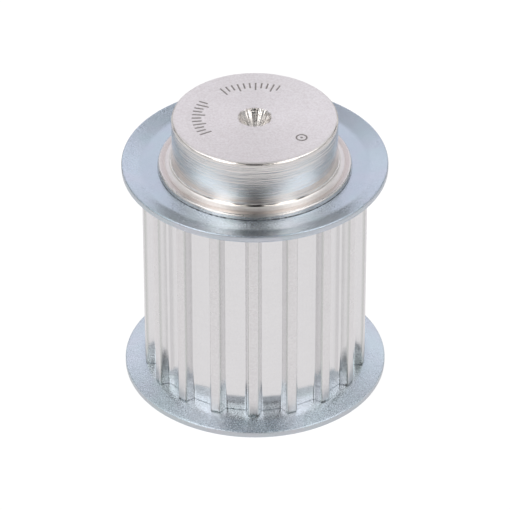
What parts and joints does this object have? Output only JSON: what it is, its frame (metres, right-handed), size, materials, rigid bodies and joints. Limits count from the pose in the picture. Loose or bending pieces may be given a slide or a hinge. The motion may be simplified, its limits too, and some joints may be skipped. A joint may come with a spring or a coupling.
{
  "type": "timing belt pulley",
  "caption": "Flanged aluminium timing belt pulley with trapezoidal teeth, a plain hub on one side and two dished steel flanges.",
  "frame": {"origin": "on the axis of rotation, in the plane of the rear end face", "axes": "+Z along the axis of rotation, from the rear end face to the plain hub; the angle about Z is set by one tooth, whose centre line points 0.8 degrees clockwise of -Y seen from +Z"},
  "size_m": [0.0322, 0.0322, 0.036],
  "materials": {
    "turned_aluminium": "bright turned and hobbed aluminium with fine tool lines, satin",
    "zinc_plated_steel": "cold-rolled steel with bright blue-passivated zinc plating, semi-gloss"
  },
  "bodies": {
    "root": {"pulley_body": "turned_aluminium", "hub_side_flange": "zinc_plated_steel", "rear_flange": "zinc_plated_steel"}
  },
  "joints": []
}
